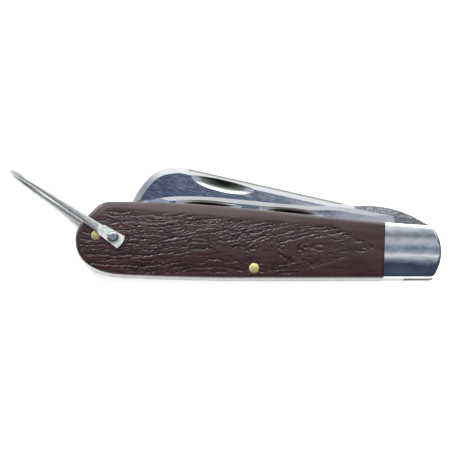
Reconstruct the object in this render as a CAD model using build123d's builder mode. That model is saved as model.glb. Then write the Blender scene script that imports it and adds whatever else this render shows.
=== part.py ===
from build123d import *

# Two-blade folding jack knife with a shackle, lying closed on its side.
# It is drawn in the handle's frame: X from the butt to the head, Y from the back edge
# towards the blades' spines, Z across the handle from its middle plane. At the end every
# piece is moved by one step, so that the origin is under the middle of the closed knife.

import os
from math import cos, hypot, radians, sin, sqrt

# Driving dimensions, in mm
handle_length = 95.25
butt_height = 20.0
head_height = 14.5
bolster_length = 14.8
seam_lean = 0.5
cover_thickness = 3.2
liner_thickness = 0.6
centre_liner_thickness = 0.8
blade_thickness = 2.3
side_clearance = 0.05
crown_radius = 32.0
edge_round = 1.0
corner_radius = 1.6
shoulder_radius = 5.0
seam_gap = 0.06

pivot_from_head = 6.05
pivot_height = 7.1
pivot_pin_radius = 1.6
running_clearance = 0.05

brass_pin_radius = 1.32
spring_pin_radius = 1.45
pin_sink = 0.12
end_pin_from_butt = 5.3
bail_pin_from_butt = 9.84
butt_pin_rise = 0.6
spring_pin_from_butt = 46.4
spring_pin_height = 2.4

spring_height = 5.0
spring_end_height = 3.3
spring_toe_from_pivot = 3.8
seat_clearance = 0.12

cam_radius = 6.5
cam_offset = 0.4
tang_end_from_pivot = 3.0
tang_rise = 0.45
tang_belly = 1.7

sheepsfoot_tip_from_butt = 12.9
sheepsfoot_hump_from_pivot = 13.9
sheepsfoot_spine_from_pivot = 16.7
sheepsfoot_spine_rise = 4.9
sheepsfoot_nose_from_butt = 28.4
sheepsfoot_nose_rise = 9.35
swage_width = 1.6
swage_depth = 0.28
grind_width = 5.5
edge_thickness = 0.35

driver_tip_from_butt = 14.5
driver_tip_width = 6.4
driver_tip_thickness = 0.9
driver_swage_width = 1.15
driver_swage_depth = 0.17

nick_depth = 0.45
nick_hollow_radius = 5.9
nick_wall_offset = 0.3
nick_wall_slope = 1.9
bail_pin_radius = 1.0
rivet_head_radius = 1.45
rivet_head_height = 0.7
bail_length = 33.0
bail_angle = 146.5
bail_half_width = 9.0
bail_wire_radius = 0.66
bail_clearance = 0.1
tab_thickness = 1.0
tab_end_width = 3.7
tab_neck_width = 2.8
tab_neck = 4.2

# Planes and places worked out from the driving dimensions
spring_thickness = blade_thickness + 2 * side_clearance
slot_inner = centre_liner_thickness / 2
slot_outer = slot_inner + spring_thickness
cover_base = slot_outer + liner_thickness
half_thickness = cover_base + cover_thickness

seam_top = handle_length - bolster_length
pivot = Vector(handle_length - pivot_from_head, pivot_height)
butt_pin_height = butt_height / 2 + butt_pin_rise
end_pin_place = (end_pin_from_butt, butt_pin_height + 0.3)
bail_pin_place = (bail_pin_from_butt, butt_pin_height - 0.2)
spring_pin_place = (spring_pin_from_butt, spring_pin_height)
all_pins = [
    (end_pin_place, brass_pin_radius),
    (bail_pin_place, bail_pin_radius),
    (spring_pin_place, spring_pin_radius),
    (tuple(pivot)[:2], pivot_pin_radius),
]

# The head is a shallow arc between the ends of the top and back edges.
head_bulge = 2.25
head_corner = handle_length - head_bulge
head_top = head_height - 0.95
butt_bevel = (3.15, 0.81 * butt_height)
shoulder = (6.85, butt_height)
butt_top = (12.5, butt_height)
butt_nose = (0, butt_height / 2)
back_start = (44, 0)

with BuildSketch() as side:
    with BuildLine():
        Line((head_corner, 0), back_start)
        Spline(
            [
                back_start,
                (14.7, 0.035 * butt_height),
                (6.25, 0.095 * butt_height),
                (2.4, 0.205 * butt_height),
                butt_nose,
            ],
            tangents=[(-1, 0), (0, 1)],
        )
        Spline(
            [butt_nose, (0.75, 0.65 * butt_height), butt_bevel],
            tangents=[(0, 1), (shoulder[0] - butt_bevel[0], shoulder[1] - butt_bevel[1])],
        )
        Line(butt_bevel, shoulder)
        Line(shoulder, butt_top)
        Spline([butt_top, (seam_top, head_height)], tangents=[(1, 0), (1, -0.08)])
        Line((seam_top, head_height), (head_corner, head_top))
        ThreePointArc((head_corner, head_top), (handle_length, head_top / 2), (head_corner, 0))
    make_face()
    fillet(side.vertices().sort_by_distance(shoulder)[0], radius=shoulder_radius)
    for corner in ((head_corner, head_top), (head_corner, 0)):
        fillet(side.vertices().sort_by_distance(corner)[0], radius=corner_radius)


def pin_holes(places: list, clearance: float = 0.0):
    """Cut a round hole for each (place, radius) in the sketch that is open."""
    for place, radius in places:
        with Locations(place):
            Circle(radius + clearance, mode=Mode.SUBTRACT)


# The handle's full shape: its side outline, crowned across and rounded at the edges.
ridge_drop = (butt_height - head_height) / 2
across = Plane(
    origin=(0, butt_height / 2, 0),
    x_dir=(ridge_drop, handle_length, 0),
    z_dir=(handle_length, -ridge_drop, 0),
)
with BuildPart() as envelope:
    with BuildSketch(Plane.XY):
        add(side.sketch)
    extrude(amount=half_thickness, both=True)
    with BuildSketch(across):
        with Locations((0, half_thickness - crown_radius)):
            Circle(crown_radius)
        with Locations((0, crown_radius - half_thickness)):
            Circle(crown_radius, mode=Mode.INTERSECT)
    extrude(amount=2 * handle_length, both=True, mode=Mode.INTERSECT)
    crowned = envelope.faces().filter_by(lambda f: abs(f.normal_at().Z) > 0.5)
    fillet(crowned.edges(), radius=edge_round)


def seam_side(towards_head: bool):
    """Draw everything on one side of the leaning seam between cover and bolster."""
    gap = seam_gap / 2 if towards_head else -seam_gap / 2
    reach = 2 * handle_length if towards_head else -handle_length
    high = (seam_top + gap + seam_lean, 2 * head_height)
    low = (seam_top + gap - seam_lean * 2, -head_height)
    Polygon([low, high, (reach, 2 * butt_height), (reach, -butt_height)], align=None)


with BuildPart() as front_scale:
    with BuildSketch(Plane.XY.offset(cover_base)):
        seam_side(towards_head=False)
        pin_holes(all_pins[:3])
    extrude(amount=2 * cover_thickness)
    add(envelope.part, mode=Mode.INTERSECT)
front_scale.part.label = "front_scale"

with BuildPart() as rear_scale:
    mirror(front_scale.part, about=Plane.XY)
rear_scale.part.label = "rear_scale"

with BuildPart() as front_bolster:
    with BuildSketch(Plane.XY.offset(cover_base)):
        seam_side(towards_head=True)
        pin_holes(all_pins[3:])
    extrude(amount=2 * cover_thickness)
    add(envelope.part, mode=Mode.INTERSECT)
front_bolster.part.label = "front_bolster"

with BuildPart() as rear_bolster:
    mirror(front_bolster.part, about=Plane.XY)
rear_bolster.part.label = "rear_bolster"


def plate(base: float, thickness: float) -> Part:
    """Make a liner: a flat plate of the handle's outline with all the pin holes."""
    with BuildPart() as made:
        with BuildSketch(Plane.XY.offset(base)):
            add(side.sketch)
            pin_holes(all_pins)
        extrude(amount=thickness)
    return made.part


front_liner = plate(slot_outer, liner_thickness)
front_liner.label = "front_liner"
rear_liner = plate(-cover_base, liner_thickness)
rear_liner.label = "rear_liner"
centre_liner = plate(-slot_inner, centre_liner_thickness)
centre_liner.label = "centre_liner"

# A tang turns in the hollow end of its backspring. Its top corner reaches out furthest.
tang_corner = (pivot.X + tang_end_from_pivot, head_top + tang_rise)
sweep_radius = hypot(tang_corner[0] - pivot.X, tang_corner[1] - pivot.Y)
seat_radius = sweep_radius + seat_clearance
cam_centre = (pivot.X - cam_offset, pivot.Y - cam_offset)
butt_plate_top = butt_height - 6.5
butt_plate_end = bail_pin_from_butt + 1.7


def backspring(base: float) -> Part:
    """Make a backspring: a band along the back that widens round the pins at the butt."""
    with BuildPart() as made:
        with BuildSketch(Plane.XY.offset(base)):
            with BuildLine():
                Polyline(
                    (-5, -5),
                    (-5, butt_plate_top),
                    (butt_plate_end, butt_plate_top),
                    (butt_plate_end + 2.2, spring_height),
                    (spring_pin_from_butt, spring_height),
                    (pivot.X - spring_toe_from_pivot, spring_end_height),
                    (pivot.X - spring_toe_from_pivot, -5),
                    close=True,
                )
            band = make_face()
            shoulder_corner = (butt_plate_end, butt_plate_top)
            foot_corner = (butt_plate_end + 2.2, spring_height)
            fillet(band.vertices().sort_by_distance(shoulder_corner)[0], radius=1.6)
            fillet(band.vertices().sort_by_distance(foot_corner)[0], radius=3.0)
            add(side.sketch, mode=Mode.INTERSECT)
            with Locations(tuple(pivot)[:2]):
                Circle(seat_radius, mode=Mode.SUBTRACT)
            pin_holes(all_pins[:3])
        extrude(amount=spring_thickness)
    return made.part


front_backspring = backspring(slot_inner)
front_backspring.label = "front_backspring"
rear_backspring = backspring(-slot_outer)
rear_backspring.label = "rear_backspring"


def tang(belly_foot: tuple):
    """Draw the tang's end face, cam and belly, from its top corner round to the blade."""
    foot_x = tang_corner[0] + 0.2
    foot = (foot_x, cam_centre[1] + sqrt(cam_radius**2 - (foot_x - cam_centre[0]) ** 2))
    belly = cam_centre[1] - tang_belly
    heel = (cam_centre[0] - sqrt(cam_radius**2 - tang_belly**2), belly)
    low = (
        cam_centre[0] + cam_radius * cos(radians(-60)),
        cam_centre[1] + cam_radius * sin(radians(-60)),
    )
    Line(tang_corner, foot)
    ThreePointArc(foot, low, heel)
    Line(heel, (belly_foot[0] + 1.6, belly))
    Line((belly_foot[0] + 1.6, belly), belly_foot)


def nick_wheel(start: tuple, end: tuple, face: float) -> Part:
    """Make the grinding wheel of a nail nick, which leaves a crescent in a blade's face.

    Its rim is rounded, so the nick is hollow, and one side of it is a cone, which leaves
    the nick's sloping wall from start to end.
    """
    length = hypot(end[0] - start[0], end[1] - start[1])
    wall_depth = nick_depth - nick_wall_offset**2 / (2 * nick_hollow_radius)
    wheel_radius = (length / 2) ** 2 / (2 * wall_depth)
    along = Vector(end[0] - start[0], end[1] - start[1], 0).normalized()
    down = Vector(along.Y, -along.X, 0)
    middle = Vector((start[0] + end[0]) / 2, (start[1] + end[1]) / 2, face)
    section = Plane(origin=middle, x_dir=down, z_dir=down.cross(Vector(0, 0, 1)))
    reach = nick_wall_offset + 0.9 * nick_hollow_radius
    rise = nick_hollow_radius - sqrt(nick_hollow_radius**2 - (reach - nick_wall_offset) ** 2)
    near_rise = nick_hollow_radius - sqrt(nick_hollow_radius**2 - nick_wall_offset**2)
    with BuildPart() as wheel:
        with BuildSketch(section):
            with BuildLine():
                Polyline(
                    (0, near_rise - nick_depth),
                    (-nick_wall_slope * wall_depth, near_rise - nick_depth + wall_depth),
                    (-nick_wall_slope * wall_depth, wheel_radius / 2),
                    (reach, wheel_radius / 2),
                    (reach, rise - nick_depth),
                )
                ThreePointArc(
                    (reach, rise - nick_depth),
                    (nick_wall_offset, -nick_depth),
                    (0, near_rise - nick_depth),
                )
            make_face()
        hub = middle + Vector(0, 0, wheel_radius)
        revolve(axis=Axis(tuple(hub), tuple(down)))
    return wheel.part


def relieve_spine(blade: Part, above: float, width: float, depth: float) -> None:
    """Bevel the spine of the blade that is open, along its edges above a height."""
    for face in (blade.faces().sort_by(Axis.Z)[-1], blade.faces().sort_by(Axis.Z)[0]):
        spine = face.edges().filter_by(lambda e: e.center().Y > above)
        chamfer(spine, length=width, length2=depth, reference=face)


# The sheepsfoot blade, closed: its spine rises towards the butt and turns down to the tip.
sheepsfoot_tip = (sheepsfoot_tip_from_butt, butt_height - 3.8)
sheepsfoot_heel = (pivot.X - 16.2, spring_height + 2.2)
spine_head = (pivot.X - sheepsfoot_spine_from_pivot, head_height + sheepsfoot_spine_rise)
spine_nose = (sheepsfoot_nose_from_butt, butt_height + sheepsfoot_nose_rise)
hump = (pivot.X - sheepsfoot_hump_from_pivot, spine_head[1])
spine_run = (spine_nose[0] - spine_head[0], spine_nose[1] - spine_head[1])
sheepsfoot_nick = ((30.2, butt_height + 7.5), (46.6, butt_height + 3.75))
rear_face = -slot_outer + side_clearance

with BuildPart() as sheepsfoot_blade:
    with BuildSketch(Plane.XY.offset(rear_face)):
        with BuildLine():
            tang(sheepsfoot_heel)
            Line(sheepsfoot_heel, sheepsfoot_tip)
            Spline(
                [
                    sheepsfoot_tip,
                    (sheepsfoot_tip[0] + 4.6, butt_height + 5.1),
                    (sheepsfoot_tip[0] + 8.6, butt_height + 8.6),
                    (sheepsfoot_tip[0] + 12.1, butt_height + 9.45),
                    spine_nose,
                ],
                tangents=[(0.32, 1), (-spine_run[0], -spine_run[1])],
            )
            Line(spine_nose, spine_head)
            Line(spine_head, hump)
            ThreePointArc(hump, (pivot.X - 3.7, head_height + 3.2), tang_corner)
        make_face()
        pin_holes(all_pins[3:], running_clearance)
    extrude(amount=blade_thickness)
    relieve_spine(sheepsfoot_blade.part, spine_head[1] - 0.5, swage_width, swage_depth)
    # the edge is ground flat from both sides
    edge_run = Vector(sheepsfoot_tip[0] - sheepsfoot_heel[0], sheepsfoot_tip[1] - sheepsfoot_heel[1])
    edge_length = edge_run.length + 6
    across_edge = Plane(
        origin=(sheepsfoot_heel[0], sheepsfoot_heel[1], rear_face + blade_thickness / 2),
        x_dir=(-edge_run.Y, edge_run.X, 0),
        z_dir=(edge_run.X, edge_run.Y, 0),
    )
    with BuildSketch(across_edge):
        for face_side in (1, -1):
            wedge = [
                (-grind_width, face_side * blade_thickness / 2),
                (0, face_side * edge_thickness / 2),
                (3, face_side * edge_thickness / 2),
                (3, face_side * blade_thickness),
                (-grind_width, face_side * blade_thickness),
            ]
            Polygon(wedge, align=None)
    extrude(amount=edge_length, mode=Mode.SUBTRACT)
    add(nick_wheel(*sheepsfoot_nick, rear_face + blade_thickness), mode=Mode.SUBTRACT)
sheepsfoot_blade.part.label = "sheepsfoot_blade"

# The screwdriver blade, closed, with two crescent recesses along its spine.
front_face = slot_inner + side_clearance
driver_heel = (pivot.X - 16.2, spring_height + 3.6)
driver_neck = (26.0, butt_height - 7.8)
driver_tip_low = (driver_tip_from_butt, butt_height - 1.0 - driver_tip_width)
driver_tip_high = (driver_tip_from_butt, butt_height - 1.0)
driver_nose = (28.4, butt_height + 1.55)
driver_step = (45.0, butt_height + 0.45)
polish_end = (pivot.X - 6.5, head_height + 1.9)
driver_nicks = [((26.0, 20.4), (43.2, 19.1)), ((47.7, 18.7), (64.8, 16.9))]

with BuildPart() as screwdriver_blade:
    with BuildSketch(Plane.XY.offset(front_face)):
        with BuildLine():
            tang(driver_heel)
            Line(driver_heel, driver_neck)
            Line(driver_neck, driver_tip_low)
            Line(driver_tip_low, driver_tip_high)
            Spline(
                [
                    driver_tip_high,
                    (20.6, butt_height + 0.85),
                    driver_nose,
                    driver_step,
                    (62.0, butt_height - 1.0),
                    polish_end,
                ],
                tangents=[(1, 0.3), (1, -0.2)],
            )
            ThreePointArc(polish_end, (pivot.X - 1.2, head_height + 0.95), tang_corner)
        make_face()
        pin_holes(all_pins[3:], running_clearance)
    extrude(amount=blade_thickness)
    relieve_spine(screwdriver_blade.part, polish_end[1] + 0.5, driver_swage_width, driver_swage_depth)
    # the driver's tip is ground thinner on both faces
    with BuildSketch(Plane.XZ.offset(-butt_height - 20)):
        taper_end = (driver_tip_from_butt - 1, front_face + blade_thickness / 2)
        for face_side in (1, -1):
            low = face_side * driver_tip_thickness / 2
            high = face_side * blade_thickness / 2
            with Locations(taper_end):
                Polygon([(0, low), (11, high), (11, 4 * high), (0, 4 * high)], align=None)
    extrude(amount=butt_height + 30, mode=Mode.SUBTRACT)
    for driver_nick in driver_nicks:
        add(nick_wheel(*driver_nick, front_face + blade_thickness), mode=Mode.SUBTRACT)
screwdriver_blade.part.label = "screwdriver_blade"


def round_pin(place: tuple, radius: float, sink: float) -> Part:
    """Make a pin through the whole handle, with ends that follow the crowned sides."""
    with BuildPart() as made:
        with BuildSketch(Plane.XY.offset(-half_thickness)):
            with Locations(place):
                Circle(radius)
        extrude(amount=2 * half_thickness)
        with BuildSketch(across):
            with Locations((0, half_thickness - sink - crown_radius)):
                Circle(crown_radius)
            with Locations((0, crown_radius + sink - half_thickness)):
                Circle(crown_radius, mode=Mode.INTERSECT)
        extrude(amount=2 * handle_length, both=True, mode=Mode.INTERSECT)
    return made.part


pivot_pin = round_pin(tuple(pivot)[:2], pivot_pin_radius, 0.0)
pivot_pin.label = "pivot_pin"
spring_pin = round_pin(spring_pin_place, spring_pin_radius, pin_sink)
spring_pin.label = "spring_pin"
end_pin = round_pin(end_pin_place, brass_pin_radius, pin_sink)
end_pin.label = "end_pin"

# The rivet holds the shackle's tabs against the covers, with a domed head on each side.
tab_base = half_thickness + bail_clearance
head_base = tab_base + tab_thickness + side_clearance
with BuildPart() as bail_pin:
    with BuildSketch(Plane.XY.offset(head_base)):
        with Locations(bail_pin_place):
            Circle(rivet_head_radius)
    extrude(amount=rivet_head_height)
    fillet(bail_pin.edges().sort_by(Axis.Z)[-1], radius=0.9 * rivet_head_height)
    with BuildSketch(Plane.XY):
        with Locations(bail_pin_place):
            Circle(bail_pin_radius)
    extrude(amount=head_base)
    mirror(about=Plane.XY)
bail_pin.part.label = "bail_pin"

# The shackle: two flat tabs, legs that taper to round wire, and a half-round end.
leg_way = Vector(cos(radians(bail_angle)), sin(radians(bail_angle)), 0)
leg_side = Vector(-leg_way.Y, leg_way.X, 0)
tab_plane = Plane(origin=(bail_pin_place[0], bail_pin_place[1], tab_base), x_dir=leg_way, z_dir=(0, 0, 1))
leg_height = tab_base + tab_thickness / 2
leg_end = bail_length - bail_half_width - bail_wire_radius


def leg_plane(distance: float, height: float) -> Plane:
    """Return the plane across a leg at a distance from the rivet and a height."""
    origin = Vector(*bail_pin_place, height) + leg_way * distance
    return Plane(origin=origin, x_dir=leg_side, z_dir=leg_way)


# Each station: distance from the rivet, height, half width and half depth of the leg.
leg_stations = [
    (tab_neck - 1.2, leg_height, tab_neck_width / 2 - 0.25, tab_thickness / 2 - 0.06),
    (tab_neck + 3.0, leg_height + 0.35, 1.0, 0.56),
    (0.65 * leg_end, bail_half_width - 0.5, 0.82, 0.62),
    (leg_end, bail_half_width, bail_wire_radius, bail_wire_radius),
]
with BuildPart() as bail:
    for distance, height, half_width, half_depth in leg_stations:
        with BuildSketch(leg_plane(distance, height)):
            Ellipse(half_width, half_depth)
    loft()
    with BuildSketch(tab_plane):
        with BuildLine():
            Polyline(
                (-2.4, -tab_end_width / 2),
                (tab_neck - 0.6, -tab_neck_width / 2),
                (tab_neck, -tab_neck_width / 2 + 0.5),
                (tab_neck, tab_neck_width / 2 - 0.5),
                (tab_neck - 0.6, tab_neck_width / 2),
                (-2.4, tab_end_width / 2),
            )
            ThreePointArc((-2.4, tab_end_width / 2), (-2.85, 0), (-2.4, -tab_end_width / 2))
        make_face()
        Circle(bail_pin_radius + running_clearance, mode=Mode.SUBTRACT)
    extrude(amount=tab_thickness)
    mirror(about=Plane.XY)
    with BuildSketch(leg_plane(leg_end, bail_half_width)):
        Circle(bail_wire_radius)
    bend_axis = Vector(*bail_pin_place, 0) + leg_way * leg_end
    revolve(axis=Axis(tuple(bend_axis), tuple(leg_side)), revolution_arc=180)
bail.part.label = "bail"

# Every piece is moved so that the origin is under the middle of the closed knife.
pieces = [
    front_scale.part,
    rear_scale.part,
    front_bolster.part,
    rear_bolster.part,
    front_liner,
    centre_liner,
    rear_liner,
    front_backspring,
    rear_backspring,
    sheepsfoot_blade.part,
    screwdriver_blade.part,
    pivot_pin,
    spring_pin,
    end_pin,
    bail_pin.part,
    bail.part,
]
boxes = [piece.bounding_box() for piece in pieces]
origin = Vector(
    (min(b.min.X for b in boxes) + max(b.max.X for b in boxes)) / 2,
    (min(b.min.Y for b in boxes) + max(b.max.Y for b in boxes)) / 2,
    min(b.min.Z for b in boxes),
)

os.makedirs("parts", exist_ok=True)
for piece in pieces:
    name = piece.label
    placed = piece.moved(Location(-origin))
    placed.label = name
    export_step(placed, f"parts/{name}.step")
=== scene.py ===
import logging
from dataclasses import dataclass
from enum import Enum
from math import exp, floor, hypot, sqrt, tau

import bmesh
import bpy
from mathutils import Matrix, Vector, noise


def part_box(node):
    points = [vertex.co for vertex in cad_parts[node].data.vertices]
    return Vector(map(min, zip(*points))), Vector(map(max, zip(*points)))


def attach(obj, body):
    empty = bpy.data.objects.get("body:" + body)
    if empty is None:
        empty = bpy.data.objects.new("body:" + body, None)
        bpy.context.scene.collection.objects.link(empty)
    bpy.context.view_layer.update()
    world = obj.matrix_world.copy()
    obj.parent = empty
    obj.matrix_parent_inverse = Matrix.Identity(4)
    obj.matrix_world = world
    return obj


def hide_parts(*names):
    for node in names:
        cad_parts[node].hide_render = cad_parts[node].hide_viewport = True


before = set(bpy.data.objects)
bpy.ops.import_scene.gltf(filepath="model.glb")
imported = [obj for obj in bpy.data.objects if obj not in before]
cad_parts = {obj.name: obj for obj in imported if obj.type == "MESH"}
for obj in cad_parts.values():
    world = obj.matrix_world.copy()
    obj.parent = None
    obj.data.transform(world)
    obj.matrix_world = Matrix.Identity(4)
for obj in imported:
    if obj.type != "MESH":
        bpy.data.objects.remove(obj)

log = logging.getLogger("jack_knife")

MM = 0.001
GRAIN = "grain_depth"
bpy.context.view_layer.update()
Socket = bpy.types.NodeSocket


class Side(Enum):
    """The two sides of the handle, as the way that each one faces."""

    FRONT = 1
    REAR = -1


def linear(colour: str) -> tuple[float, float, float, float]:
    """Turn an sRGB hex colour into linear light.

    Args:
        colour: six hex digits, such as "4b383a".

    Returns:
        Red, green, blue and alpha for a node's socket.
    """
    parts = [int(colour[i : i + 2], 16) / 255 for i in (0, 2, 4)]
    low = [c / 12.92 if c <= 0.04045 else ((c + 0.055) / 1.055) ** 2.4 for c in parts]
    return (*low, 1.0)


def smooth(low: float, high: float, value: float) -> float:
    """Return 0 below low, 1 above high and a smooth step between them."""
    t = min(max((value - low) / (high - low), 0.0), 1.0)
    return t * t * (3 - 2 * t)


def node(tree: bpy.types.NodeTree, kind: str, inputs: dict | None = None, **settings) -> bpy.types.Node:
    """Add a node with its settings, input values and links.

    Args:
        tree: the node tree that gets it.
        kind: the node's type name.
        inputs: socket name or number to a value, or to the socket that feeds it.
        settings: the node's own properties.

    Returns:
        The new node.
    """
    made = tree.nodes.new(kind)
    for name, value in settings.items():
        setattr(made, name, value)
    for name, value in (inputs or {}).items():
        if isinstance(value, Socket):
            tree.links.new(value, made.inputs[name])
        else:
            made.inputs[name].default_value = value
    return made


def ramp(tree: bpy.types.NodeTree, fac: Socket, stops: list[tuple[float, str]]) -> Socket:
    """Add a colour ramp.

    Args:
        tree: the node tree.
        fac: the value that runs along the ramp.
        stops: each stop's place from 0 to 1 and its hex colour.

    Returns:
        The ramp's colour.
    """
    made = node(tree, "ShaderNodeValToRGB", {"Fac": fac})
    elements = made.color_ramp.elements
    while len(elements) < len(stops):
        elements.new(0.5)
    for element, (place, colour) in zip(elements, stops):
        element.position = place
        element.color = linear(colour)
    return made.outputs["Color"]


def pattern(tree: bpy.types.NodeTree, size_mm: tuple[float, float, float], turn: float = 0.0) -> Socket:
    """Return Object coordinates scaled so that one unit is size_mm along X, Y and Z."""
    coords = node(tree, "ShaderNodeTexCoord")
    turned = node(
        tree,
        "ShaderNodeMapping",
        {"Vector": coords.outputs["Object"], "Rotation": (0.0, 0.0, turn)},
    )
    scale = tuple(1 / (s * MM) for s in size_mm)
    scaled = node(
        tree,
        "ShaderNodeMapping",
        {"Vector": turned.outputs["Vector"], "Scale": scale},
    )
    return scaled.outputs["Vector"]


def noise_value(
    tree: bpy.types.NodeTree,
    size_mm: tuple[float, float, float],
    detail: float = 3.0,
    turn: float = 0.0,
) -> Socket:
    """Return a noise pattern, from 0 to 1, with features of size_mm."""
    made = node(
        tree,
        "ShaderNodeTexNoise",
        {"Vector": pattern(tree, size_mm, turn), "Scale": 1.0, "Detail": detail},
    )
    return made.outputs["Fac"]


def mapped(
    tree: bpy.types.NodeTree,
    value: Socket,
    low: float,
    high: float,
    start: float = 0.3,
    end: float = 0.7,
) -> Socket:
    """Map value from the range start to end to the range low to high."""
    made = node(
        tree,
        "ShaderNodeMapRange",
        {"Value": value, "From Min": start, "From Max": end, "To Min": low, "To Max": high},
    )
    return made.outputs["Result"]


def mixed(tree: bpy.types.NodeTree, fac: Socket, first: Socket, second: Socket) -> Socket:
    """Mix two colours."""
    made = node(tree, "ShaderNodeMix", {0: fac, 6: first, 7: second}, data_type="RGBA")
    return made.outputs[2]


def away_from(tree: bpy.types.NodeTree, place: Vector) -> Socket:
    """Return the distance from the line along Z through a place."""
    coords = node(tree, "ShaderNodeTexCoord")
    flat = node(
        tree,
        "ShaderNodeVectorMath",
        {0: coords.outputs["Object"], 1: (1.0, 1.0, 0.0)},
        operation="MULTIPLY",
    )
    made = node(
        tree,
        "ShaderNodeVectorMath",
        {0: flat.outputs["Vector"], 1: (place.x, place.y, 0.0)},
        operation="DISTANCE",
    )
    return made.outputs["Value"]


def middle(name: str) -> Vector:
    """Return the middle of a CAD node's box."""
    low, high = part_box(name)
    return (low + high) / 2


def new_material(name: str) -> tuple[bpy.types.Material, bpy.types.NodeTree, bpy.types.Node]:
    """Make an empty material with a Principled shader, and return all three."""
    material = bpy.data.materials.new(name)
    material.use_nodes = True
    tree = material.node_tree
    tree.nodes.clear()
    shader = node(tree, "ShaderNodeBsdfPrincipled")
    node(tree, "ShaderNodeOutputMaterial", {"Surface": shader.outputs["BSDF"]})
    return material, tree, shader


@dataclass(frozen=True)
class MouldedPlastic:
    """Nylon moulded in a polished, grained tool: dark red-brown, glossy, a little blotchy."""

    name: str = "moulded_nylon_red_brown"
    deep: str = "1c0f10"
    light: str = "251617"
    # Painted shade for the grain's grooves.
    groove_shade: str = "150a0b"
    roughness: float = 0.17

    def material(self) -> bpy.types.Material:
        """Build the plastic's material."""
        made, tree, shader = new_material(self.name)
        # Pigment flows in long streaks along the mould, some 6 mm by 1 mm.
        streaks = noise_value(tree, (6.0, 1.0, 1.0), 4.0)
        shader.inputs["IOR"].default_value = 1.53
        skin = ramp(tree, streaks, [(0.35, self.deep), (0.65, self.light)])
        # Painted shade: the grain's grooves are darkened nearly to black, where their walls fall in shade.
        carved = node(tree, "ShaderNodeAttribute", attribute_name=GRAIN).outputs["Fac"]
        painted_groove_shade = ramp(tree, streaks, [(0.3, self.groove_shade), (0.7, self.deep)])
        tree.links.new(mixed(tree, carved, skin, painted_groove_shade), shader.inputs["Base Color"])
        # The mould's skin is dull in patches of about 1 mm.
        patches = noise_value(tree, (1.2, 0.6, 0.6), 4.0)
        rough = mapped(tree, patches, self.roughness - 0.05, self.roughness + 0.12)
        tree.links.new(rough, shader.inputs["Roughness"])
        # A fine stipple of 0.3 mm, as coarse as it needs to be to show.
        stipple = noise_value(tree, (0.45, 0.3, 0.3), 2.0)
        bump = node(
            tree,
            "ShaderNodeBump",
            {"Height": stipple, "Strength": 0.25, "Distance": 0.05 * MM},
        )
        tree.links.new(bump.outputs["Normal"], shader.inputs["Normal"])
        return made


@dataclass(frozen=True)
class Metal:
    """A bare metal with the marks of how its surface was finished.

    lines_mm is the length and spacing of the finish's fine scratches, and turn their way.
    """

    name: str
    dark: str
    light: str
    roughness: float
    spread: float = 0.06
    lines_mm: tuple[float, float] = (8.0, 0.25)
    turn: float = 0.0
    bump: float = 0.1
    depth_mm: float = 0.02

    def material(self) -> bpy.types.Material:
        """Build the metal's material."""
        made, tree, shader = new_material(self.name)
        shader.inputs["Metallic"].default_value = 1.0
        long, fine = self.lines_mm
        lines = noise_value(tree, (long, fine, fine), 3.0, self.turn)
        tree.links.new(ramp(tree, lines, [(0.3, self.dark), (0.7, self.light)]), shader.inputs["Base Color"])
        rough = mapped(tree, lines, self.roughness - self.spread, self.roughness + self.spread)
        tree.links.new(rough, shader.inputs["Roughness"])
        bump = node(
            tree,
            "ShaderNodeBump",
            {"Height": lines, "Strength": self.bump, "Distance": self.depth_mm * MM},
        )
        tree.links.new(bump.outputs["Normal"], shader.inputs["Normal"])
        return made


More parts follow.
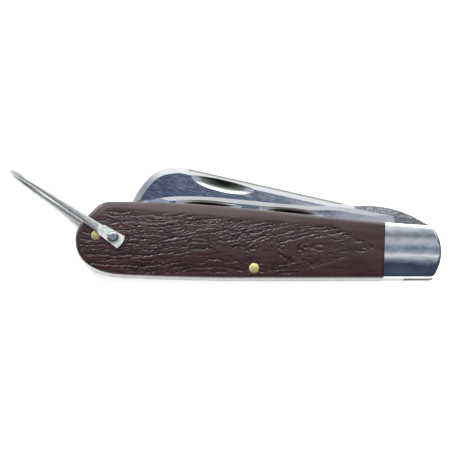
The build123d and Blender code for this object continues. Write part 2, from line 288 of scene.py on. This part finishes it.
@dataclass(frozen=True)
class GroundBlade:
    """Blade steel: ground and polished along its faces, left matt on the tang.

    The grind is bright and fine near the tip and more worn towards the tang.
    """

    name: str
    node_name: str
    tang_start: float
    turn: float
    nick_corner: tuple[float, float]
    # The nick's painted shade, then its painted olive reflection.
    nick_painted_shade: str
    nick_painted_reflection: str
    tip_colour: str = "6c7590"
    ground: str = "7f879a"
    worn_colour: str = "dcdde2"
    scratch: str = "b4b9c6"
    # Bright polish for scratches and bevels, also a painted highlight on the bevels and the nick's rim.
    polish_and_highlight: str = "f4f4f5"
    tang_dark: str = "56585d"
    tang_light: str = "a2a4aa"
    fine: float = 0.15
    worn: float = 0.36
    buffed_roughness: float = 0.12
    tang_roughness: float = 0.5
    def material(self) -> bpy.types.Material:
        """Build the steel's material."""
        made, tree, shader = new_material(self.name)
        shader.inputs["Metallic"].default_value = 1.0
        coords = node(tree, "ShaderNodeTexCoord")
        place = node(tree, "ShaderNodeSeparateXYZ", {"Vector": coords.outputs["Object"]})
        x = place.outputs["X"]
        tang = mapped(tree, x, 0.0, 1.0, self.tang_start, self.tang_start + 0.5 * MM)
        # Wear spreads from the tang in clouds of some 9 mm by 3 mm.
        cloud = mapped(tree, noise_value(tree, (9.0, 4.0, 4.0), 3.0, self.turn), -0.16, 0.16)
        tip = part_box(self.node_name)[0].x
        along = mapped(tree, x, 0.0, 1.0, tip, self.tang_start)
        wear = node(tree, "ShaderNodeMath", {0: along, 1: cloud}, operation="ADD", use_clamp=True)
        lines = noise_value(tree, (3.0, 0.14, 0.14), 3.0, self.turn)
        bright = ramp(
            tree,
            wear.outputs["Value"],
            [(0.0, self.tip_colour), (0.62, self.ground), (0.95, self.worn_colour)],
        )
        pale = ramp(tree, wear.outputs["Value"], [(0.0, self.scratch), (0.9, self.polish_and_highlight)])
        cross = noise_value(tree, (0.12, 1.6, 1.6), 3.0, self.turn + 0.35)
        scratched = node(
            tree,
            "ShaderNodeMath",
            {
                0: mapped(tree, lines, 0.0, 0.85, 0.53, 0.64),
                1: mapped(tree, cross, 0.0, 0.8, 0.57, 0.68),
            },
            operation="MAXIMUM",
        )
        inset = self.inset(tree, place.outputs["Z"])
        flat = mapped(tree, inset, 1.0, 0.0, 0.004 * MM, 0.02 * MM)
        ground = mixed(tree, scratched.outputs["Value"], bright, pale)
        # Painted light in the nick, by depth: a painted highlight at the shallow rim and at the deepest cut,
        # a painted olive reflection on the belly and painted shade on the deep wall.
        nick_painted_light = ramp(
            tree,
            mapped(tree, inset, 0.0, 1.0, 0.0, 0.6 * MM),
            [
                (0.28, self.polish_and_highlight),
                (0.42, "9b9e92"),
                (0.56, self.nick_painted_reflection),
                (0.73, self.nick_painted_shade),
                (0.80, self.nick_painted_shade),
                (0.85, self.polish_and_highlight),
            ],
        )
        right = mapped(tree, x, 0.0, 1.0, self.nick_corner[0], self.nick_corner[0] + 0.1 * MM)
        above = mapped(
            tree, place.outputs["Y"], 0.0, 1.0, self.nick_corner[1], self.nick_corner[1] + 0.1 * MM
        )
        zone = node(tree, "ShaderNodeMath", {0: right, 1: above}, operation="MULTIPLY")
        # Painted highlight: bevels outside the nick are coloured bright white over their polish.
        polish_and_highlight = ramp(tree, lines, [(0.3, self.polish_and_highlight), (0.7, "ffffff")])
        painted_bevel_and_nick_light = mixed(tree, zone.outputs["Value"], polish_and_highlight, nick_painted_light)
        polished = mixed(tree, flat, painted_bevel_and_nick_light, ground)
        spots = noise_value(tree, (0.5, 0.4, 0.4), 3.0)
        dull = ramp(tree, spots, [(0.35, self.tang_dark), (0.6, self.tang_light)])
        tree.links.new(mixed(tree, tang, polished, dull), shader.inputs["Base Color"])
        gloss = mapped(tree, wear.outputs["Value"], self.fine, self.worn, 0.0, 1.0)
        smoothed = node(tree, "ShaderNodeMix", {0: flat, 2: self.buffed_roughness, 3: gloss})
        rough = node(tree, "ShaderNodeMix", {0: tang, 2: smoothed.outputs[0], 3: self.tang_roughness})
        tree.links.new(rough.outputs[0], shader.inputs["Roughness"])
        bump = node(
            tree,
            "ShaderNodeBump",
            {"Height": lines, "Strength": 0.18, "Distance": 0.02 * MM},
        )
        tree.links.new(bump.outputs["Normal"], shader.inputs["Normal"])
        return made


    def inset(self, tree: bpy.types.NodeTree, height: Socket) -> Socket:
        """Return how far a place lies in from the nearer flat side of the blade."""
        low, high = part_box(self.node_name)
        off = node(
            tree, "ShaderNodeMath", {0: height, 1: (low.z + high.z) / 2}, operation="SUBTRACT"
        )
        away = node(tree, "ShaderNodeMath", {0: off.outputs["Value"]}, operation="ABSOLUTE")
        inside = node(
            tree,
            "ShaderNodeMath",
            {0: (high.z - low.z) / 2, 1: away.outputs["Value"]},
            operation="SUBTRACT",
        )
        return inside.outputs["Value"]


@dataclass(frozen=True)
class DressedPin:
    """A pin's end, spun bright in the middle, with a dark line where it meets its hole."""

    name: str
    node_name: str
    edge: str
    dark: str
    light: str
    roughness: float = 0.3
    bare: float = 1.0

    def material(self) -> bpy.types.Material:
        """Build the pin's material."""
        made, tree, shader = new_material(self.name)
        shader.inputs["Metallic"].default_value = self.bare
        low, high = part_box(self.node_name)
        radius = (high.x - low.x) / 2
        away = away_from(tree, middle(self.node_name))
        spots = noise_value(tree, (0.7, 0.5, 0.5), 3.0, 0.4)
        face = ramp(tree, spots, [(0.3, self.dark), (0.65, self.light)])
        rim = ramp(tree, spots, [(0.3, self.edge), (0.7, self.edge)])
        near = mapped(tree, away, 0.0, 1.0, 0.84 * radius, 0.97 * radius)
        tree.links.new(mixed(tree, near, face, rim), shader.inputs["Base Color"])
        rough = mapped(tree, spots, self.roughness - 0.08, self.roughness + 0.1)
        tree.links.new(rough, shader.inputs["Roughness"])
        # Small dents of 0.7 mm, left by the hammer.
        bump = node(
            tree,
            "ShaderNodeBump",
            {"Height": spots, "Strength": 0.5, "Distance": 0.08 * MM},
        )
        tree.links.new(bump.outputs["Normal"], shader.inputs["Normal"])
        return made


@dataclass(frozen=True)
class ShackleSteel:
    """Bright drawn wire, left satin where it was pressed flat round the rivet."""

    name: str = "drawn_and_pressed_steel_wire"
    wire_dark: str = "8e9190"
    wire_light: str = "babcbb"
    worn_dark: str = "6c6f6f"
    worn: str = "8f9290"
    tab_dark: str = "a9afa8"
    tab_light: str = "dde1dc"
    tab_reach: float = 4.3 * MM
    worn_reach: float = 25.0 * MM

    def material(self) -> bpy.types.Material:
        """Build the shackle's material."""
        made, tree, shader = new_material(self.name)
        # A thin oxide skin scatters some of the light.
        shader.inputs["Metallic"].default_value = 0.8
        away = away_from(tree, middle("bail_pin"))
        wire = mapped(tree, away, 0.0, 1.0, self.tab_reach, self.tab_reach + 0.8 * MM)
        lines = noise_value(tree, (6.0, 0.3, 0.3), 3.0, -2.557)
        clean = ramp(tree, lines, [(0.3, self.wire_dark), (0.7, self.wire_light)])
        # The loop is duller, where rings and hooks rub it.
        rubbed = ramp(tree, lines, [(0.3, self.worn_dark), (0.7, self.worn)])
        loop = mapped(tree, away, 0.0, 1.0, self.worn_reach, self.worn_reach + 4.0 * MM)
        drawn = mixed(tree, loop, clean, rubbed)
        spots = noise_value(tree, (1.1, 0.8, 0.8), 3.0)
        pressed = ramp(tree, spots, [(0.3, self.tab_dark), (0.7, self.tab_light)])
        tree.links.new(mixed(tree, wire, pressed, drawn), shader.inputs["Base Color"])
        rough = mapped(tree, wire, 0.55, 0.2, 0.0, 1.0)
        tree.links.new(rough, shader.inputs["Roughness"])
        bump = node(
            tree,
            "ShaderNodeBump",
            {"Height": lines, "Strength": 0.1, "Distance": 0.02 * MM},
        )
        tree.links.new(bump.outputs["Normal"], shader.inputs["Normal"])
        return made


def merged_copy(name: str, source: str) -> bpy.types.Object:
    """Copy a CAD node's shape into a new object, with its loose triangles joined up."""
    shape = bmesh.new()
    shape.from_mesh(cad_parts[source].data)
    bmesh.ops.remove_doubles(shape, verts=shape.verts, dist=0.002 * MM)
    mesh = bpy.data.meshes.new(name)
    shape.to_mesh(mesh)
    shape.free()
    made = bpy.data.objects.new(name, mesh)
    bpy.context.scene.collection.objects.link(made)
    return made


def apply_modifiers(thing: bpy.types.Object) -> None:
    """Make an object's modified shape its own mesh, and drop its modifiers."""
    graph = bpy.context.evaluated_depsgraph_get()
    mesh = bpy.data.meshes.new_from_object(thing.evaluated_get(graph))
    thing.modifiers.clear()
    thing.data = mesh


def shade_smooth(mesh: bpy.types.Mesh) -> None:
    """Shade every face of a mesh smooth."""
    mesh.polygons.foreach_set("use_smooth", [True] * len(mesh.polygons))
    mesh.update()


def dress(thing: bpy.types.Object, material: bpy.types.Material) -> None:
    """Give an object one material."""
    thing.data.materials.clear()
    thing.data.materials.append(material)


@dataclass
class Cover:
    """One moulded cover, with a raised smooth border round a panel of carved wood grain.

    Sizes are in mm, in the handle's own frame: x from the butt, y from the back.
    """

    side: Side
    crown_radius: float = 32.0
    ridge_start: float = 10.0
    ridge_fall: float = 2.75 / 95.25
    voxel: float = 0.19
    border_top: float = 2.3
    border_back: float = 1.1
    panel_tip: tuple[float, float] = (79.0, 7.6)
    climb: float = 0.17
    climb_start: float = 26.0
    groove_pitch: float = 1.25
    groove_depth: float = 0.22
    seed: float = 3.7

    @property
    def node_name(self) -> str:
        """The CAD node that this cover stands for."""
        return "front_scale" if self.side is Side.FRONT else "rear_scale"

    def build(self, material: bpy.types.Material) -> bpy.types.Object:
        """Make the cover, in place of its CAD node.

        Args:
            material: the moulded plastic.

        Returns:
            The finished piece.
        """
        cover = merged_copy(f"{self.node_name}_moulded", self.node_name)
        remesh = cover.modifiers.new("Remesh", "REMESH")
        remesh.mode = "VOXEL"
        remesh.voxel_size = self.voxel * MM
        apply_modifiers(cover)
        low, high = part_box(self.node_name)
        shape = bmesh.new()
        shape.from_mesh(cover.data)
        shape.normal_update()
        outer = high.z if self.side is Side.FRONT else low.z
        grain = shape.verts.layers.float.new(GRAIN)
        for vert in shape.verts:
            facing = vert.normal.z * self.side.value
            if facing < 0.3:
                continue
            x, y = (vert.co.x - low.x) / MM, (vert.co.y - low.y) / MM
            self.snap_to_crown(vert, x, y, outer, facing)
            depth = self.relief(x, y) * smooth(0.3, 0.8, facing)
            # The depth also sets how much painted shade darkens the grooves.
            vert[grain] = smooth(0.12, 0.3, depth)
            vert.co.z -= self.side.value * depth * MM
        shape.to_mesh(cover.data)
        shape.free()
        shade_smooth(cover.data)
        dress(cover, material)
        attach(cover, "handle")
        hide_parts(self.node_name)
        return cover

    def snap_to_crown(
        self, vert: bmesh.types.BMVert, x: float, y: float, outer: float, facing: float
    ) -> None:
        """Move a vertex of the crowned face onto the true cylinder."""
        off = y - self.ridge_start + self.ridge_fall * x
        sink = self.crown_radius - sqrt(self.crown_radius**2 - off * off)
        true = outer - self.side.value * sink * MM
        if facing > 0.9 and abs(vert.co.z - true) < 0.12 * MM:
            vert.co.z = true

    def panel(self, x: float, y: float) -> float:
        """Return how far a place is inside the grained panel, from 0 to 1."""
        top = 20.0 - 0.081 * (x - 12.5)
        bevel = (x + 13.05 - y) / sqrt(2)
        inside_top = min(top - y, bevel)
        back = y if x > 10.5 else 10.1 - hypot(x - 10.3, y - 10.0) + 0.2
        tip_x, tip_y = self.panel_tip
        waver = 0.5 * noise.noise(Vector((x / 5, y / 5, self.seed + 40)))
        run = max(0.0, tip_x - x)
        upper = tip_y + 0.42 * run + 0.035 * run**1.3
        lower = tip_y - 0.3 * run
        inside = min(
            smooth(self.border_top - 0.5, self.border_top + 0.5, inside_top + waver),
            smooth(self.border_back - 0.4, self.border_back + 0.6, back + 0.5 * waver),
            smooth(-0.3, 0.7, upper - y),
            smooth(-0.3, 0.7, y - lower),
            smooth(0.0, 1.0, tip_x - x),
        )
        return inside

    def relief(self, x: float, y: float) -> float:
        """Return how deep the moulded grain is at a place, in mm."""
        inside = self.panel(x, y)
        if inside <= 0.0:
            return 0.0
        flow = 1.7 * self.wave(x, y, 30, 16, 0) + 0.9 * self.wave(x, y, 9, 6, 5)
        # Towards the head the grain climbs, then closes over in an arch.
        flow -= self.climb * max(0.0, x - self.climb_start) * smooth(3.0, 9.0, y)
        ragged = 0.30 * self.wave(x, y, 0.9, 0.8, 9) + 0.34 * self.wave(x, y, 2.6, 1.5, 13)
        depth = 0.08 + 0.07 * self.wave(x, y, 5, 1.2, 17)
        for share, width, strength, start in (
            (1.0, 0.13, 1.0, 0.0),
            (0.77, 0.11, 0.8, 0.06),
            (0.49, 0.10, 0.6, 0.12),
        ):
            pitch = share * self.groove_pitch
            line = y + flow + ragged + 13 * start
            row = floor(line / pitch + 0.5)
            away = line - row * pitch
            here = noise.noise(Vector((x / 4.5 + row * 11.3, row * 5.7, self.seed + 50 * start)))
            present = smooth(start - 0.12, start + 0.10, here)
            cut = exp(-((away / width) ** 2))
            lip = exp(-(((away + 2.2 * width) / (0.9 * width)) ** 2))
            depth += self.groove_depth * strength * present * (cut - 0.3 * lip)
        patch = smooth(-0.02, 0.25, self.wave(x, y, 8, 4, 23))
        pit = noise.cell_vector(Vector((x / 0.62 + 0.4 * ragged, y / 0.42, self.seed)))
        if pit.x > 0.55:
            depth += 0.15 * patch * smooth(0.3, 0.6, self.wave(x, y, 0.45, 0.35, 31) + 0.5)
        return depth * inside

    def wave(self, x: float, y: float, long: float, tall: float, layer: float) -> float:
        """Return noise from about -1 to 1, in features of long by tall mm."""
        return noise.noise(Vector((x / long, y / tall, self.seed + self.side.value + layer)))


@dataclass
class BrassPin:
    """A brass pin through the whole handle, with a low dome hammered on each end."""

    node_name: str
    dome: float = 0.3
    rings: int = 6
    segments: int = 48

    def build(self, material: bpy.types.Material) -> bpy.types.Object:
        """Spin the pin, in place of its CAD node.

        Args:
            material: the pin's brass.

        Returns:
            The finished piece.
        """
        low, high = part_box(self.node_name)
        centre = middle(self.node_name)
        radius = (high.x - low.x) / 2
        curve = (radius**2 + (self.dome * MM) ** 2) / (2 * self.dome * MM)
        half = (high.z - low.z) / 2 - 0.05 * MM
        profile = []
        for ring in range(self.rings + 1):
            out = radius * ring / self.rings
            lift = sqrt(curve**2 - out**2) - (curve - self.dome * MM)
            profile.append((out, half + lift))
        profile += [(out, -height) for out, height in reversed(profile)]
        shape = bmesh.new()
        verts = [
            shape.verts.new((centre.x + out, centre.y, centre.z + height)) for out, height in profile
        ]
        edges = [shape.edges.new(pair) for pair in zip(verts, verts[1:])]
        bmesh.ops.spin(
            shape,
            geom=[*verts, *edges],
            cent=centre,
            axis=(0.0, 0.0, 1.0),
            angle=tau,
            steps=self.segments,
            use_merge=True,
        )
        bmesh.ops.remove_doubles(shape, verts=shape.verts, dist=0.001 * MM)
        bmesh.ops.recalc_face_normals(shape, faces=shape.faces)
        mesh = bpy.data.meshes.new(f"{self.node_name}_domed")
        shape.to_mesh(mesh)
        shape.free()
        pin = bpy.data.objects.new(mesh.name, mesh)
        bpy.context.scene.collection.objects.link(pin)
        shade_smooth(mesh)
        dress(pin, material)
        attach(pin, "handle")
        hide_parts(self.node_name)
        return pin


@dataclass
class Studio:
    """A pale floor, soft lights and the camera."""

    focus: tuple[float, float] = (0.0001, -0.0008)
    distance: float = 0.9
    below: float = 0.1
    width_seen: float = 0.1172

    def build(self) -> None:
        """Set up everything round the knife."""
        self.floor()
        self.world()
        self.lights()
        self.camera()

    def floor(self) -> None:
        """Lay a plain pale floor under the knife."""
        shape = bmesh.new()
        bmesh.ops.create_grid(shape, x_segments=1, y_segments=1, size=1.5)
        mesh = bpy.data.meshes.new("floor")
        shape.to_mesh(mesh)
        shape.free()
        floor = bpy.data.objects.new("floor", mesh)
        bpy.context.scene.collection.objects.link(floor)
        material, tree, shader = new_material("matt_white_card")
        shader.inputs["Base Color"].default_value = linear("d0d0d0")
        shader.inputs["Roughness"].default_value = 0.9
        dress(floor, material)

    def world(self) -> None:
        """Surround the knife with soft bands of light and shade, as strip lights give.

        The bands run across the sky from the back of the handle to the blades' side.
        """
        world = bpy.data.worlds.new("studio")
        bpy.context.scene.world = world
        world.use_nodes = True
        tree = world.node_tree
        tree.nodes.clear()
        coords = node(tree, "ShaderNodeTexCoord")
        way = node(tree, "ShaderNodeSeparateXYZ", {"Vector": coords.outputs["Generated"]})
        fac = mapped(tree, way.outputs["Y"], 0.0, 1.0, -1.0, 1.0)
        stops = [
            (0.00, "8a909a"),
            (0.10, "262a33"),
            (0.35, "475266"),
            (0.42, "3f4658"),
            (0.455, "888fa0"),
            (0.488, "fafafc"),
            (0.512, "a0a8b4"),
            (0.552, "74829a"),
            (0.587, "bcc3d0"),
            (0.619, "c4c5cc"),
            (0.652, "727a88"),
            (0.682, "b6bcc4"),
            (0.711, "f0f2f4"),
            (1.00, "f4f5f6"),
        ]
        # A brown wall stands beyond the head.
        beyond = mapped(tree, way.outputs["X"], 0.0, 0.85, 0.35, 0.6)
        wall = ramp(tree, fac, [(0.0, "4c483c"), (1.0, "6a6452")])
        sky = mixed(tree, beyond, ramp(tree, fac, stops), wall)
        # The brightest window is low, on the blades' side.
        glow = mapped(tree, fac, 1.0, 3.4, 0.74, 0.84)
        background = node(tree, "ShaderNodeBackground", {"Color": sky, "Strength": glow})
        node(tree, "ShaderNodeOutputWorld", {"Surface": background.outputs["Background"]})

    def lights(self) -> None:
        """Hang the soft lights that light the floor and the covers."""
        self.lamp("key", (-0.35, 0.62, 0.55), 0.35, 14.0, False)
        self.lamp("fill", (0.25, -0.25, 0.8), 0.7, 16.0, False)
        self.lamp("glint", (-0.3, 0.8, 0.5), 0.2, 1.6, True)

    def lamp(
        self,
        name: str,
        place: tuple[float, float, float],
        size: float,
        power: float,
        mirrored: bool,
    ) -> None:
        """Hang one square soft light that faces the knife."""
        data = bpy.data.lights.new(name, "AREA")
        data.size = size
        data.energy = power
        lamp = bpy.data.objects.new(name, data)
        lamp.location = place
        lamp.rotation_euler = (-Vector(place)).to_track_quat("-Z", "Y").to_euler()
        lamp.visible_glossy = mirrored
        bpy.context.scene.collection.objects.link(lamp)

    def camera(self) -> None:
        """Look down on the knife's front, from a little below its back."""
        data = bpy.data.cameras.new("camera")
        data.sensor_width = 36.0
        data.lens = 36.0 * self.distance / self.width_seen
        data.clip_end = 10.0
        camera = bpy.data.objects.new("camera", data)
        away = Vector((0.0, -self.below, sqrt(1 - self.below**2)))
        across = Vector((1.0, 0.0, 0.0))
        up = away.cross(across)
        turn = Matrix((across, up, away)).transposed()
        place = Vector((*self.focus, middle("front_liner").z)) + away * self.distance
        camera.matrix_world = Matrix.Translation(place) @ turn.to_4x4()
        bpy.context.scene.collection.objects.link(camera)
        bpy.context.scene.camera = camera


@dataclass
class Knife:
    """The whole knife: which finish each piece has, and the pieces made here."""

    plastic: MouldedPlastic = MouldedPlastic()
    bolster: Metal = Metal(
        "polished_nickel_silver", "cfd1d6", "f0f1f3", 0.08, 0.03, (3.4, 2.0), 0.0, 0.2, 0.05
    )
    liner: Metal = Metal("rolled_nickel_silver_sheet", "858079", "a5a19b", 0.34, 0.06, (5.0, 0.2))
    spring: Metal = Metal("polished_spring_steel", "8d8b89", "b4b2b0", 0.24, 0.06, (4.0, 0.2))
    spring_pin: DressedPin = DressedPin(
        "hammered_brass_pin", "spring_pin", "4a4030", "a3985c", "e2d898", 0.42, 0.9
    )
    end_pin: DressedPin = DressedPin(
        "hammered_brass_end_pin", "end_pin", "4a4030", "a0945c", "ddd29c", 0.42, 0.9
    )
    rivet: DressedPin = DressedPin(
        "polished_steel_rivet", "bail_pin", "4a4b53", "8f97a2", "c8ced8", 0.16
    )
    wire: ShackleSteel = ShackleSteel()

    def build(self) -> None:
        """Make and dress every piece."""
        plastic = self.plastic.material()
        for side in Side:
            cover = Cover(side).build(plastic)
            log.info("%s: %d faces", cover.name, len(cover.data.polygons))
        for finish in (self.spring_pin, self.end_pin):
            BrassPin(finish.node_name).build(finish.material())
        self.dress_nodes()

    def dress_nodes(self) -> None:
        """Give the CAD nodes that show as they are their metals."""
        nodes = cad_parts
        bolster, liner = self.bolster.material(), self.liner.material()
        spring = self.spring.material()
        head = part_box("front_bolster")[1].x
        # The matt tang starts this far from the head on each blade.
        wide_tang, driver_tang = 22.8 * MM, 12.6 * MM
        wide = GroundBlade(
            "ground_carbon_steel_wide",
            "sheepsfoot_blade",
            head - wide_tang,
            0.222,
            (-9.5 * MM, 5.0 * MM),
            # The nick's painted shade and painted reflection.
            "2c2c28",
            "7e8174",
        ).material()
        driver = GroundBlade(
            "ground_carbon_steel_driver",
            "screwdriver_blade",
            head - driver_tang,
            0.09,
            (-13.1 * MM, 0.0),
            # The nick's painted shade and painted reflection.
            "161614",
            "3c3c38",
        ).material()
        finishes = {
            "front_bolster": bolster,
            "rear_bolster": bolster,
            "front_liner": liner,
            "centre_liner": liner,
            "rear_liner": liner,
            "front_backspring": spring,
            "rear_backspring": spring,
            "sheepsfoot_blade": wide,
            "screwdriver_blade": driver,
            "pivot_pin": bolster,
            "bail_pin": self.rivet.material(),
            "bail": self.wire.material(),
        }
        for name, material in finishes.items():
            dress(nodes[name], material)
            log.info("%s dressed in %s", name, material.name)


def main() -> None:
    """Build the knife and its studio, and report each piece."""
    logging.basicConfig(level=logging.INFO, format="%(name)s: %(message)s")
    bpy.context.scene.view_settings.view_transform = "Standard"
    Knife().build()
    Studio().build()


if __name__ == "__main__":
    main()
